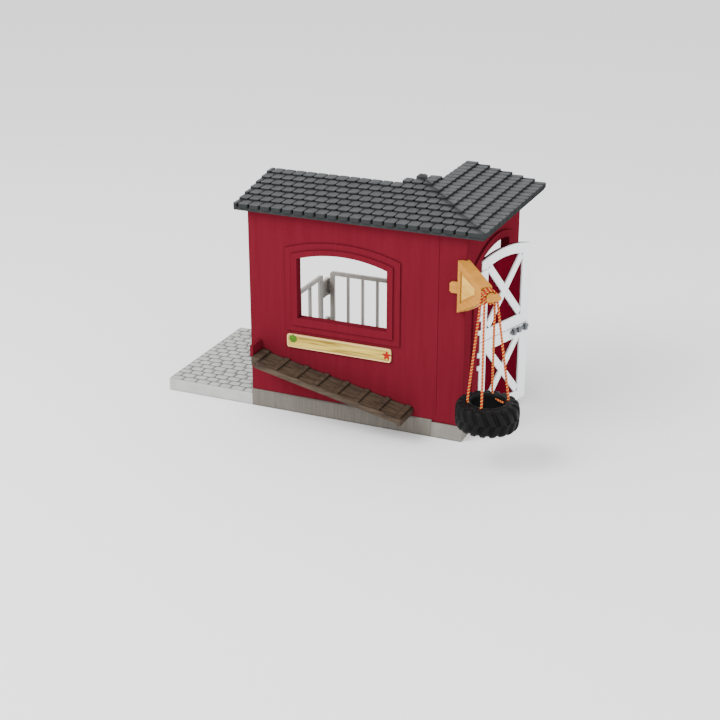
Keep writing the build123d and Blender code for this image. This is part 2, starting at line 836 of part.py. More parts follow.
quarters = [helix_point(k / 4) for k in range(4 * turns + 1)]
route = []
for (start, start_way), (end, end_way) in zip(quarters, quarters[1:]):
    route += biarc(start, start_way, end, end_way)
lead_in = Line(quarters[0][0] - quarters[0][1] * rope_diameter, quarters[0][0])
lead_out = Line(quarters[-1][0], quarters[-1][0] + quarters[-1][1] * rope_diameter)
winding_path = Wire([lead_in.edge()] + [arc.edge() for arc in route] + [lead_out.edge()])
with BuildPart() as rope_winding:
    with BuildSketch(Plane(origin=winding_path @ 0, z_dir=winding_path % 0)):
        RegularPolygon(rope_radius, rope_sides)
    sweep(path=winding_path)
save(rope_winding, "rope_winding")
section = rope_sides / 2 * sin(2 * pi / rope_sides) * rope_radius**2
print("winding", rope_winding.part.volume, section * winding_path.length)
samples = [helix_point(k / 60)[0] for k in range(60 * turns + 1)]
gap = min((samples[i] - samples[j]).length for i in range(len(samples)) for j in range(i + 30, len(samples)))
print("least gap between turns", gap - rope_diameter)


def bight(name, first_top, first_foot, second_foot, second_top):
    """A strand down into the tyre, across inside it and up again. Returns the length of its route."""
    with BuildPart() as rope:
        with BuildLine() as path:
            FilletPolyline(first_top, first_foot, second_foot, second_top, radius=bend_radius)
        with BuildSketch(Plane(origin=path.wire() @ 0, z_dir=path.wire() % 0)):
            RegularPolygon(rope_radius, rope_sides)
        sweep(path=path.wire())
    save(rope, name)
    print(name, rope.part.volume, section * path.wire().length, path.wire().length)


def in_tyre(turn_degrees, radius, z):
    """A point at an angle and radius round the tyre's middle."""
    x = tyre_middle[0] + radius * cos(radians(turn_degrees))
    y = tyre_middle[1] + radius * sin(radians(turn_degrees))
    return Vector(x, y, z)


def strand(s, n, turn_degrees):
    """Top of a strand beside the winding, and its foot inside the tyre, on one straight line."""
    top = on_arm(s, n, neck_z - strand_drop)
    mouth = in_tyre(turn_degrees, mouth_radius, rope_top_z)
    down = (mouth - top).normalized()
    return top, mouth + down * mouth_depth


left_top, left_foot = strand(turn_start, turn_radius, left_turn)
near_top, near_foot = strand(turn_start + turn_pitch * 2, turn_radius, near_turn)
far_top, far_foot = strand(turn_start + turn_pitch * 1.5, -turn_radius, far_turn)
right_top, right_foot = strand(turn_start + turn_pitch * 2.9, -turn_radius, right_turn)
bight("rope_front", left_top, left_foot, near_foot, near_top)
bight("rope_back", far_top, far_foot, right_foot, right_top)

# The pen inside: a fixed side panel, clips at its rear end, and a gate that turns in them.
pen_x = left + 106.0
pen_top = 92.0
pen_front_y = front + 9.0
pivot_y = front + 151.0
bar_size = 2.4
post_width = 4.8
panel_depth = 3.0
rail_height = 4.2
side_bars = 5
gate_bars = 11
gate_end_x = left + 297.0
gate_foot = base_height + 0.4
pivot_radius = 1.2
clip_radius = 2.5
clip_height = 3.4
hinge_spans = ((18.0, 41.0), (66.0, 84.0))
corner_radius = 3.0
pen_end_y = front + 137.0
pen_end_post = 6.5
gate_gap = 3.4
knuckle_reach = 4.2
knuckle_thickness = 2.0
lug_end_y = pivot_y - 1.4
web_thickness = 2.0
web_end_y = pivot_y - 2.0
pivot_clearance = 0.08


def grille(length, foot, bays, first_post, last_post):
    """Face of a panel of upright bars between two rails, its lower left corner at 0 and foot."""
    face = Pos(length / 2, (foot + pen_top) / 2) * Rectangle(length, pen_top - foot)
    face = fillet(face.vertices().group_by(Axis.Y)[-1], radius=corner_radius)
    hole_height = pen_top - foot - 2 * rail_height
    pitch = (length - first_post - last_post + bar_size) / bays
    for k in range(bays):
        middle = first_post + k * pitch + (pitch - bar_size) / 2
        face -= Pos(middle, (foot + pen_top) / 2) * Rectangle(pitch - bar_size, hole_height)
    return face


side_grille = grille(pen_end_y - pen_front_y, base_height, side_bars, post_width, pen_end_post)
with BuildPart() as pen_side:
    with BuildSketch(Plane(origin=(pen_x - panel_depth / 2, pen_front_y, 0), x_dir=(0, 1, 0), z_dir=(1, 0, 0))):
        add(side_grille)
    extrude(amount=panel_depth)
save(pen_side, "pen_side")

gate_start_x = pen_x + gate_gap
gate_grille = grille(gate_end_x - gate_start_x, gate_foot, gate_bars, post_width, post_width)
gate_face_y = pivot_y + panel_depth / 2
with BuildPart() as pen_gate:
    with BuildSketch(Plane(origin=(gate_start_x, gate_face_y, 0), x_dir=(1, 0, 0), z_dir=(0, -1, 0))):
        add(gate_grille)
    extrude(amount=panel_depth)
    for low, high in hinge_spans:
        with Locations((pen_x, pivot_y, (low + high) / 2)):
            Cylinder(pivot_radius, high - low)
        with Locations((pen_x + knuckle_reach / 2, pivot_y, (low + high) / 2)):
            Box(knuckle_reach, knuckle_thickness, high - low - 2 * clip_height - 2 * clearance)
save(pen_gate, "pen_gate")

with BuildPart() as pen_clips:
    for low, high in hinge_spans:
        with Locations((pen_x, (pen_end_y + web_end_y) / 2, (low + high) / 2)):
            Box(web_thickness, web_end_y - pen_end_y, high - low)
        for z in (low + clip_height / 2, high - clip_height / 2):
            with Locations((pen_x, pivot_y, z)):
                Cylinder(clip_radius, clip_height)
            with Locations((pen_x, (lug_end_y + pen_end_y) / 2, z)):
                Box(panel_depth, lug_end_y - pen_end_y, clip_height)
            with Locations((pen_x, pivot_y, z)):
                Cylinder(pivot_radius + pivot_clearance, clip_height, mode=Mode.SUBTRACT)
save(pen_clips, "pen_clips")
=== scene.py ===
import math

import bmesh
import bpy
import numpy as np
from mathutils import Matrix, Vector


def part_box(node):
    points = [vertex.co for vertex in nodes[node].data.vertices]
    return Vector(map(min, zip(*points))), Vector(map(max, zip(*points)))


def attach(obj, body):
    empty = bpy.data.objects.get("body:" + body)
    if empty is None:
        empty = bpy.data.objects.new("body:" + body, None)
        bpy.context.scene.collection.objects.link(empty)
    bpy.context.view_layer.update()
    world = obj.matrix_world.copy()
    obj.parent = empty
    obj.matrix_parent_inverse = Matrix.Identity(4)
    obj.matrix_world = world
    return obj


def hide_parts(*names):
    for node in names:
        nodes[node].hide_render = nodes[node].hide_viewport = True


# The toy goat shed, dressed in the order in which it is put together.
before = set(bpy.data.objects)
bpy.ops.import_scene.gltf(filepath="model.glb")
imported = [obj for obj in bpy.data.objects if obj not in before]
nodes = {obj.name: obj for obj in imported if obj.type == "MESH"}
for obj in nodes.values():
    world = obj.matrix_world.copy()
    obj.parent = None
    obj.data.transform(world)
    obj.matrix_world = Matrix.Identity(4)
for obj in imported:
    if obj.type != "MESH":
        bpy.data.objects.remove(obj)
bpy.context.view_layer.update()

# Base plate and yard. One moulding of hard grey plastic that everything else plugs into. The yard's
# rounded stones are part of the moulding and stand up from it in low relief, in a running bond.
# The object's lengths are in millimetres, here and below, and MM turns them into metres.
MM = 0.001
LEFT = -154.5
RIGHT = 154.5
FRONT = -77.25
REAR = 77.25
SHED_LEFT = LEFT + 94.0
BASE_TOP = 12.0
YARD_MARGIN = 1.8
YARD_END = SHED_LEFT - 0.6
STONE_ROWS = 17
STONE_LENGTH = 12.6
STONE_JOINT = 1.1
STONE_HEIGHT = 0.75
STONE_WIDTH = (REAR - FRONT - 2 * YARD_MARGIN + STONE_JOINT) / STONE_ROWS
STONE_SUNK = 0.05
STONE_TURNS = 20
STONE_POWER = 5
STONE_LEAN = 0.012
STONE_ROUGHNESS = 0.02
LEAST_CROWN = 0.75
LEAST_SHARE = 0.85
MOST_SHARE = 1.18
END_STONE = 0.55
BED_MARGIN = 1.4
BED_CORNER = 4.0
BED_SUNK = 0.1
BED_PROUD = 0.04

# The one source of the random draws that make stones and tiles a little uneven.
rng = np.random.default_rng(7)


def moulded(
    name, colour, shade, rough, grain, bump, fine=900.0, edge=0.35, shine=0.2, mottle=0.5, crease=0.45
):
    """Moulded plastic, from colour to shade along a grain given as (x, y, z) scales per metre.

    Streaks set the colour, more gently where mottle is high, and streaks and pores together the
    relief, bump strong, with pores at the scale fine. Edges look rounded by the given millimetres,
    and creases get painted shade: ambient occlusion darkens the colour there to the share given as
    crease.
    """
    pore_height = 0.35
    gloss_spread = 0.07
    crease_reach = 2.5
    openness_of_a_crease = 0.35
    openness_of_a_face = 0.92
    relief_depth = 0.4
    material = bpy.data.materials.new(name)
    material.use_nodes = True
    tree = material.node_tree
    link = tree.links.new
    shader = tree.nodes["Principled BSDF"]
    shader.inputs["Specular IOR Level"].default_value = shine
    place = tree.nodes.new("ShaderNodeTexCoord")

    stretch = tree.nodes.new("ShaderNodeMapping")
    stretch.inputs["Scale"].default_value = grain
    streaks = tree.nodes.new("ShaderNodeTexNoise")
    streaks.inputs["Scale"].default_value = 1.0
    streaks.inputs["Detail"].default_value = 6.0
    streaks.inputs["Roughness"].default_value = 0.6
    tones = tree.nodes.new("ShaderNodeValToRGB")
    tones.color_ramp.elements[0].position = 0.5 - 0.5 * mottle
    tones.color_ramp.elements[0].color = (*shade, 1)
    tones.color_ramp.elements[1].position = 0.5 + 0.3 * mottle
    tones.color_ramp.elements[1].color = (*colour, 1)
    link(place.outputs["Object"], stretch.inputs["Vector"])
    link(stretch.outputs["Vector"], streaks.inputs["Vector"])
    link(streaks.outputs["Fac"], tones.inputs["Fac"])

    # Painted shade: ambient occlusion darkens the colour in creases to the share given as crease.
    openness = tree.nodes.new("ShaderNodeAmbientOcclusion")
    openness.samples = 6
    openness.inputs["Distance"].default_value = crease_reach * MM
    crease_shade = tree.nodes.new("ShaderNodeMapRange")
    crease_shade.inputs["From Min"].default_value = openness_of_a_crease
    crease_shade.inputs["From Max"].default_value = openness_of_a_face
    crease_shade.inputs["To Min"].default_value = crease
    crease_shaded = tree.nodes.new("ShaderNodeVectorMath")
    crease_shaded.operation = "SCALE"
    link(openness.outputs["AO"], crease_shade.inputs["Value"])
    link(tones.outputs["Color"], crease_shaded.inputs[0])
    link(crease_shade.outputs["Result"], crease_shaded.inputs["Scale"])
    link(crease_shaded.outputs["Vector"], shader.inputs["Base Color"])

    pores = tree.nodes.new("ShaderNodeTexNoise")
    pores.inputs["Scale"].default_value = fine
    pores.inputs["Detail"].default_value = 3.0
    height = tree.nodes.new("ShaderNodeMath")
    height.operation = "MULTIPLY_ADD"
    height.inputs[1].default_value = pore_height
    rounded = tree.nodes.new("ShaderNodeBevel")
    rounded.inputs["Radius"].default_value = edge * MM
    rounded.samples = 4
    relief = tree.nodes.new("ShaderNodeBump")
    relief.inputs["Strength"].default_value = bump
    relief.inputs["Distance"].default_value = relief_depth * MM
    link(place.outputs["Object"], pores.inputs["Vector"])
    link(pores.outputs["Fac"], height.inputs[0])
    link(streaks.outputs["Fac"], height.inputs[2])
    link(height.outputs["Value"], relief.inputs["Height"])
    link(rounded.outputs["Normal"], relief.inputs["Normal"])
    link(relief.outputs["Normal"], shader.inputs["Normal"])

    gloss = tree.nodes.new("ShaderNodeMapRange")
    gloss.inputs["To Min"].default_value = rough - gloss_spread
    gloss.inputs["To Max"].default_value = rough + gloss_spread
    link(pores.outputs["Fac"], gloss.inputs["Value"])
    link(gloss.outputs["Result"], shader.inputs["Roughness"])
    return material


def dress(material, *names):
    """Gives CAD nodes a material."""
    for name in names:
        nodes[name].data.materials.clear()
        nodes[name].data.materials.append(material)


def grid_faces(rows, columns, round_columns=False, round_rows=False):
    """Quads over a grid whose point (i, j) has the number i * columns + j.

    Either way round the grid can close on itself.
    """
    i = np.arange(rows if round_rows else rows - 1)[:, None]
    j = np.arange(columns if round_columns else columns - 1)[None, :]
    below = (i + 1) % rows
    after = (j + 1) % columns
    quads = [i * columns + j, i * columns + after, below * columns + after, below * columns + j]
    return np.stack(quads, axis=-1).reshape(-1, 4)


def repeated(faces, count, step):
    """The same faces for a number of like shapes, whose points follow each other step by step."""
    faces = np.asarray(faces)
    return (faces[None] + step * np.arange(count)[:, None, None]).reshape(-1, faces.shape[1]).tolist()


def mesh_piece(name, points, faces, materials, slot, body="shed", paints=None, smooth=False):
    """A piece from points in millimetres and faces, turned outwards, that rides on a body.

    The paints are each face's place in the list of materials.
    """
    mesh = bpy.data.meshes.new(name)
    mesh.from_pydata((MM * np.asarray(points)).tolist(), [], faces)
    for material in materials:
        mesh.materials.append(material)
    if paints is not None:
        mesh.polygons.foreach_set("material_index", paints)
    mesh.polygons.foreach_set("use_smooth", [smooth] * len(faces))
    shell = bmesh.new()
    shell.from_mesh(mesh)
    bmesh.ops.recalc_face_normals(shell, faces=shell.faces[:])
    shell.to_mesh(mesh)
    shell.free()
    mesh.update()
    piece = bpy.data.objects.new(name, mesh)
    bpy.context.scene.collection.objects.link(piece)
    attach(piece, body)
    return piece


def plate(near, far):
    """A closed plate between two like outlines: quads round its edge and a face on each side."""
    count = len(near)
    faces = grid_faces(2, count, round_columns=True).tolist()
    faces += [list(range(count - 1, -1, -1)), list(range(count, 2 * count))]
    return np.concatenate([near, far]), faces


def stone_grids(low_x, high_x, low_y, high_y):
    """Domes over rounded rectangles, on rings q (1 at the rim) and turns t.

    The outline reaches (|cos t|^n + |sin t|^n)^(-1/n) of the half sides, with n the STONE_POWER. The
    height over the base is crown * (1 - q^4), with a slight lean and a little roughness.
    """
    q = np.array([1.0, 0.93, 0.84, 0.68, 0.4])[None, :, None]
    t = 2 * np.pi * np.arange(STONE_TURNS)[None, None, :] / STONE_TURNS
    count = len(low_x)
    reach = q * (np.abs(np.cos(t)) ** STONE_POWER + np.abs(np.sin(t)) ** STONE_POWER) ** (-1 / STONE_POWER)
    x = reach * np.cos(t) * ((high_x - low_x) / 2)[:, None, None]
    y = reach * np.sin(t) * ((high_y - low_y) / 2)[:, None, None]
    crown = STONE_HEIGHT * rng.uniform(LEAST_CROWN, 1.0, (count, 1, 1))
    lean = rng.uniform(-STONE_LEAN, STONE_LEAN, (2, count, 1, 1))
    rough = rng.uniform(-STONE_ROUGHNESS, STONE_ROUGHNESS, x.shape)
    z = BASE_TOP - STONE_SUNK + crown * (1 - q**4) + lean[0] * x + lean[1] * y + rough
    x = x + ((low_x + high_x) / 2)[:, None, None]
    y = y + ((low_y + high_y) / 2)[:, None, None]
    return np.stack([x, y, z], axis=-1)


stone_grey = moulded(
    "stone_grey", (0.42, 0.43, 0.41), (0.33, 0.34, 0.32), rough=0.75, grain=(60, 60, 60), bump=0.4
)
joint_grey = moulded(
    "joint_grey", (0.15, 0.155, 0.148), (0.11, 0.115, 0.11), rough=0.8, grain=(60, 60, 60), bump=0.4
)
dress(stone_grey, "floor_plate")

stone_edges = []
for row in range(STONE_ROWS):
    shares = rng.uniform(LEAST_SHARE, MOST_SHARE, int((YARD_END - LEFT - YARD_MARGIN) / STONE_LENGTH))
    if row % 2:
        shares = np.concatenate([[END_STONE], shares[1:], [END_STONE]])
    ends = np.concatenate([[0.0], np.cumsum(shares) / shares.sum()])
    ends = LEFT + YARD_MARGIN + ends * (YARD_END + STONE_JOINT - LEFT - YARD_MARGIN)
    low_y = FRONT + YARD_MARGIN + row * STONE_WIDTH
    for low_x, high_x in zip(ends[:-1], ends[1:]):
        stone_edges.append((low_x, high_x - STONE_JOINT, low_y, low_y + STONE_WIDTH - STONE_JOINT))
stones = stone_grids(*np.array(stone_edges).T)
stone_count, stone_rings, stone_turns, _ = stones.shape
stone_step = stone_rings * stone_turns
stone_faces = repeated(grid_faces(stone_rings, stone_turns, round_columns=True), stone_count, stone_step)
stone_caps = [np.arange(stone_turns)[::-1], np.arange(stone_step - stone_turns, stone_step)]
stone_faces += repeated(stone_caps, stone_count, stone_step)
mesh_piece("yard_paving", stones.reshape(-1, 3), stone_faces, [stone_grey], "base_stone", smooth=True)

bed_outline = np.array(
    [
        (LEFT + BED_CORNER, FRONT + BED_MARGIN),
        (YARD_END, FRONT + BED_MARGIN),
        (YARD_END, REAR - BED_MARGIN),
        (LEFT + BED_MARGIN, REAR - BED_MARGIN),
        (LEFT + BED_MARGIN, FRONT + BED_CORNER),
    ]
)
bed_low = np.insert(bed_outline, 2, BASE_TOP - BED_SUNK, axis=1)
bed_high = np.insert(bed_outline, 2, BASE_TOP + BED_PROUD, axis=1)
mesh_piece("yard_bed", *plate(bed_low, bed_high), [joint_grey], "base_stone")

# Plinths. Grey strips of the same plastic that the walls stand on, plugged into the base plate. Both
# greys are darkened as painted shade, the front one most, with upright streaks, and the corner and
# rear blocks are paler.
plinth_grey = moulded(
    "plinth_grey", (0.150, 0.136, 0.116), (0.095, 0.087, 0.075), rough=0.72, grain=(900, 60, 30), bump=0.5
)
plinth_light = moulded(
    "plinth_light", (0.205, 0.193, 0.172), (0.148, 0.140, 0.127), rough=0.72, grain=(80, 80, 80), bump=0.3
)
dress(plinth_grey, "plinth_front")
dress(plinth_light, "plinth_corner", "plinth_rear")

# Walls and posts. Crimson plastic with a faint upright grain, in two mouldings that slot together
# at the front's right end, where a hair line of darker red shows the joint.
WALL_FRONT_Y = FRONT + 1.4
SEAM_X = LEFT + 283.5
SEAM_HALF = 0.25
SEAM_FOOT = 22.5
SEAM_TOP = 196.0
SEAM_SUNK = 0.3
SEAM_PROUD = 0.04

wall_red = moulded(
    "wall_red",
    (0.122, 0.0097, 0.0178),
    (0.107, 0.0080, 0.0148),
    rough=0.5,
    grain=(260, 260, 18),
    bump=0.04,
    edge=0.6,
    shine=0.0,
    crease=0.66,
)
seam_red = moulded(
    "seam_red",
    (0.075, 0.004, 0.010),
    (0.066, 0.0035, 0.009),
    rough=0.6,
    grain=(260, 260, 18),
    bump=0.04,
    shine=0.0,
)
dress(wall_red, "wall_front", "wall_side", "post_left", "post_inner", "post_rear")


def upright(outline, y):
    """Points of an outline of (x, z) that stands upright at the given y, facing the front."""
    return np.stack([outline[:, 0], np.full(len(outline), y), outline[:, 1]], axis=-1)


seam_outline = np.array(
    [
        (SEAM_X - SEAM_HALF, SEAM_FOOT),
        (SEAM_X + SEAM_HALF, SEAM_FOOT),
        (SEAM_X + SEAM_HALF, SEAM_TOP),
        (SEAM_X - SEAM_HALF, SEAM_TOP),
    ]
)
seam_back = upright(seam_outline, WALL_FRONT_Y + SEAM_SUNK)
seam_face = upright(seam_outline, WALL_FRONT_Y - SEAM_PROUD)
mesh_piece("wall_seam", *plate(seam_back, seam_face), [seam_red], "wall_red")

# Roof. Two shingled wings of slate grey plastic that meet in a mitre along the hip. Each tile is a
# wedge on a plain board, so its thick lower edge throws a line of shadow on the row below it. The
# tiles' edges, the eave and the fascias are also painted darker as shade, and painted shade lies
# along the hip.
EAVE_FRONT_Y = FRONT - 7.9
EAVE_SIDE_X = RIGHT + 19.8
ROOF_LEFT_X = SHED_LEFT - 10.5
ROOF_REAR_Y = FRONT + 173.4
EAVE_HEIGHT = 197.1
ROOF_PITCH = 0.1923
BOARD = 5.4
BOARD_TOP = 4.3
BOARD_INSET = 0.02
FASCIA = 3.2
FASCIA_SETBACK = 1.9
FASCIA_EDGE = FASCIA - 0.2
GAP_FLOOR = FASCIA - 0.4
EAVE_GAP_DEPTH = 2.9
FACE_PAINT = 0
EDGE_SHADE_PAINT = 1
EAVE_SHADE_PAINT = 2
BOARD_SHADE_PAINT = 3
ROWS = 7
TILE_ROW = 11.45
TILE_WIDTH = 11.16
TILE_LAP = 0.9
TILE_FOOT = 4.32
LEAST_TILE = 1.5
HIP_SHARE = 0.6
CORNER_WIDTH = 2.1
CORNER_LENGTH = 3.0
CORNER_SHARE = 0.3
TILE_TILT = 0.12
TILE_SINK = 0.16
TILE_RISE = 0.10
TILE_ROUGHNESS = 0.05
SHORT_ROW = 30.0
HIP_OVERRUN = 2.0
HIP_SLIVER = 0.4
HIP_SHADE = 0.42
HIP_SHADE_REACH = 6.5
HIP_SHADE_CORE = 0.2 * HIP_SHADE_REACH
HIP_SHADE_SHIFT = 2.2


def paint_hip_shade(material):
    """Paints shade into a material's colour near the roof's hip, the line where x + y is the same all the
    way up.
    """
    level = EAVE_SIDE_X + EAVE_FRONT_Y - HIP_SHADE_SHIFT
    tree = material.node_tree
    link = tree.links.new
    shader = tree.nodes["Principled BSDF"]
    parts = tree.nodes.new("ShaderNodeSeparateXYZ")
    total = tree.nodes.new("ShaderNodeMath")
    away = tree.nodes.new("ShaderNodeMath")
    away.operation = "SUBTRACT"
    away.inputs[1].default_value = level * MM
    width = tree.nodes.new("ShaderNodeMath")
    width.operation = "ABSOLUTE"
    fade = tree.nodes.new("ShaderNodeMapRange")
    fade.inputs["From Min"].default_value = HIP_SHADE_CORE * MM
    fade.inputs["From Max"].default_value = HIP_SHADE_REACH * MM
    fade.inputs["To Min"].default_value = HIP_SHADE
    shaded = tree.nodes.new("ShaderNodeVectorMath")
    shaded.operation = "SCALE"
    before = shader.inputs["Base Color"].links[0].from_socket
    link(tree.nodes["Texture Coordinate"].outputs["Object"], parts.inputs["Vector"])
    link(parts.outputs["X"], total.inputs[0])
    link(parts.outputs["Y"], total.inputs[1])
    link(total.outputs["Value"], away.inputs[0])
    link(away.outputs["Value"], width.inputs[0])
    link(width.outputs["Value"], fade.inputs["Value"])
    link(before, shaded.inputs[0])
    link(fade.outputs["Result"], shaded.inputs["Scale"])
    link(shaded.outputs["Vector"], shader.inputs["Base Color"])


def front_wing(u, d, w):
    """Points on the front wing: u along the eave, d in from it, and w up from the underside."""
    return np.stack([ROOF_LEFT_X + u, EAVE_FRONT_Y + d, EAVE_HEIGHT + ROOF_PITCH * d + w], axis=-1)


def side_wing(u, d, w):
    """The same for the side wing, with u counted from its rear end."""
    return np.stack([EAVE_SIDE_X - d, ROOF_REAR_Y - u, EAVE_HEIGHT + ROOF_PITCH * d + w], axis=-1)


def tile_grids(low_u, high_u, row, length, fall, pillow):
    """Top and bottom grids (u, d, w) of all tiles of a wing, each from low_u to high_u in its row.

    Across a tile s runs from 0 to 1, and up it v runs in millimetres. The lower corners are cut by a
    quarter ellipse. The top falls by the given height from the lower edge to the upper, is tilted,
    raised and roughened a little, and drops at the rim, pillow times as deep at the sides. The bottom
    is level with the slope, and the eave row's with the fascia. Along the hip u stops at length - d,
    which is the mitre.
    """
    low_u = low_u[:, None, None]
    high_u = high_u[:, None, None]
    row = row[:, None, None]
    s = np.array([0.0, 0.06, 0.16, 0.36, 0.64, 0.84, 0.94, 1.0])[None, None, :]
    side_drop = pillow * np.array([0.45, 0.18, 0.05, 0.0, 0.0, 0.05, 0.18, 0.45])[None, None, :]
    full = TILE_ROW + np.where(row < ROWS, TILE_LAP, 0.0)
    share = np.array([0.0, 0.024, 0.073, 0.146, 0.243, 0.526, 1.0])[None, :, None]
    foot_drop = np.array([0.38, 0.12, 0.0, 0.0, 0.0, 0.0, 0.0])[None, :, None]
    foot = row * TILE_ROW
    v = share * np.minimum(full, length - foot - low_u - HIP_SLIVER)
    corner = np.minimum(CORNER_WIDTH, CORNER_SHARE * (high_u - low_u))
    inset = corner * (1 - np.sqrt(1 - np.clip(1 - v / CORNER_LENGTH, 0, 1) ** 2))
    left = low_u + inset
    right = np.minimum(high_u - inset, length - foot - v)
    u = left + s * (right - left)
    d = foot + v + 0 * s
    rest = 1 - np.minimum(v, TILE_ROW) / TILE_ROW
    count = len(low_u)
    tilt = rng.uniform(-TILE_TILT, TILE_TILT, (count, 1, 1))
    rise = rng.uniform(-TILE_SINK, TILE_RISE, (count, 1, 1))
    rough = rng.uniform(-TILE_ROUGHNESS, TILE_ROUGHNESS, u.shape)
    w = BOARD + (fall + rise + tilt * (2 * s - 1)) * rest + rough
    under = np.where(row == 0, FASCIA - ROOF_PITCH * d + BOARD_INSET, TILE_FOOT)
    return (u, d, w - np.maximum(side_drop, foot_drop)), (u, d, under)


def tiled_wing(name, place, length, first_tile, gap, fall, pillow, materials):
    """One wing in one mesh: all its rows of tiles, and the board and fascia under them.

    The first joint of an even row stands at first_tile, odd rows are half a tile over, and the short
    row at the hip's top is the last. The materials are those of the tiles' faces, of their edges, of
    the eave row's edges and of the board, in the order of the paints; the last three are darker
    copies of the tiles' grey, painted shade.
    """
    short_start = length - ROWS * TILE_ROW - SHORT_ROW
    tiles = []
    for row in range(ROWS + 1):
        start = short_start if row == ROWS else 0.0
        end = length - row * TILE_ROW
        joints = first_tile + TILE_WIDTH * (np.arange(int(end / TILE_WIDTH) + 2) + 0.5 * (row % 2))
        joints = joints[(joints > start + LEAST_TILE) & (joints < end - HIP_SHARE * TILE_ROW - LEAST_TILE)]
        edges = np.concatenate([[start - gap / 2], joints, [end + HIP_OVERRUN]])
        tiles += [(low + gap / 2, high - gap / 2, row) for low, high in zip(edges[:-1], edges[1:])]
    low_u, high_u, row = np.array(tiles).T
    top, bottom = tile_grids(low_u, high_u, row, length, fall, pillow)
    count, rows, columns = top[0].shape
    number = np.arange(rows * columns).reshape(rows, columns)
    rim = np.concatenate([number[0], number[1:, -1], number[-1, -2::-1], number[-2:0:-1, 0]])
    after = np.roll(rim, -1)
    size = rows * columns
    flat = grid_faces(rows, columns)
    edge = np.stack([after, rim, rim + size, after + size], axis=-1)
    faces = repeated(np.concatenate([flat, flat[:, ::-1] + size, edge]), count, 2 * size)
    face_paints = np.full((count, 2 * len(flat)), FACE_PAINT)
    edge_shade_paints = np.repeat(np.where(row == 0, EAVE_SHADE_PAINT, EDGE_SHADE_PAINT)[:, None], len(edge), axis=1)
    paints = np.concatenate([face_paints, edge_shade_paints], axis=1).reshape(-1).tolist()
    points = [np.stack([place(*top), place(*bottom)], axis=1).reshape(-1, 3)]
    step = count * 2 * size

    deep = ROWS * TILE_ROW
    top_end = deep + TILE_ROW
    eave_board = [(EAVE_GAP_DEPTH, BOARD_TOP), (deep, BOARD_TOP), (deep, 0.0), (FASCIA_SETBACK, 0.0)]
    eave_board += [(FASCIA_SETBACK, FASCIA_EDGE), (EAVE_GAP_DEPTH, GAP_FLOOR)]
    top_start = deep + BOARD_INSET
    top_board = [(top_start, BOARD_TOP), (top_end, BOARD_TOP), (top_end, 0.0), (top_start, 0.0)]
    for start, outline in ((0.0, eave_board), (short_start, top_board)):
        d, w = np.array(outline).T
        board_points, board_faces = plate(place(start + BOARD_INSET + 0 * d, d, w), place(length - d, d, w))
        points.append(board_points)
        faces += [[step + i for i in face] for face in board_faces]
        paints += [BOARD_SHADE_PAINT] * len(board_faces)
        step += len(board_points)
    return mesh_piece(name, np.concatenate(points), faces, materials, "roof_grey", paints=paints)


roof_grey = moulded(
    "roof_grey",
    (0.062, 0.064, 0.067),
    (0.040, 0.042, 0.044),
    rough=0.6,
    grain=(90, 90, 90),
    bump=0.35,
    edge=0.4,
    shine=0.15,
    crease=0.62,
)
# The side wing's copy of the roof grey, a little lighter, with much deeper painted shade in its joints.
roof_side_grey = moulded(
    "roof_side_grey",
    (0.070, 0.072, 0.075),
    (0.044, 0.046, 0.048),
    rough=0.6,
    grain=(90, 90, 90),
    bump=0.35,
    edge=0.4,
    shine=0.15,
    crease=0.16,
)
# Painted shade: darker copies of the roof grey for the tiles' edges, the eave row's edges and the fascias.
roof_edge_shade = moulded(
    "roof_edge_shade",
    (0.030, 0.031, 0.032),
    (0.019, 0.020, 0.021),
    rough=0.7,
    grain=(90, 90, 90),
    bump=0.2,
    shine=0.0,
)
eave_edge_shade = moulded(
    "eave_edge_shade",
    (0.024, 0.0265, 0.0265),
    (0.017, 0.019, 0.019),
    rough=0.6,
    grain=(90, 90, 90),
    bump=0.2,
    shine=0.1,
)
side_eave_shade = moulded(
    "side_eave_shade",
    (0.034, 0.037, 0.037),
    (0.024, 0.026, 0.026),
    rough=0.6,
    grain=(90, 90, 90),
    bump=0.2,
    shine=0.0,
)
fascia_shade_grey = moulded(
    "fascia_shade_grey",
    (0.031, 0.0335, 0.034),
    (0.021, 0.023, 0.0235),
    rough=0.6,
    grain=(90, 90, 90),
    bump=0.2,
    shine=0.1,
)
paint_hip_shade(roof_grey)
paint_hip_shade(roof_side_grey)
dress(roof_grey, "roof_front", "roof_side", "hip_cap")

front_tiles = tiled_wing(
    "roof_front_tiles",
    front_wing,
    EAVE_SIDE_X - ROOF_LEFT_X,
    first_tile=4.6,
    gap=0.9,
    fall=2.1,
    pillow=1.0,
    materials=[roof_grey, roof_edge_shade, eave_edge_shade, fascia_shade_grey],
)
side_tiles = tiled_wing(
    "roof_side_tiles",
    side_wing,
    ROOF_REAR_Y - EAVE_FRONT_Y,
    first_tile=-2.2,
    gap=1.4,
    fall=2.6,
    pillow=1.4,
    materials=[roof_side_grey, roof_edge_shade, side_eave_shade, side_eave_shade],
)
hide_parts("roof_front")
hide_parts("roof_side")

# Sign. A tan plastic board clipped to the wall under the window, with a raised rim round a printed
# wood-grain face. A green leaf and a red flower, both generic, stand at its ends.
SIGN_RIM = 1.33
SIGN_CORNER = 1.4
SIGN_BACK = 0.45
SIGN_DEPTH = 0.03
EMBLEM_BACK = 0.05
EMBLEM_PROUD = 0.17
EMBLEM_RADIUS = 4.2
EMBLEM_POINTS = 60
CORNER_POINTS = 9

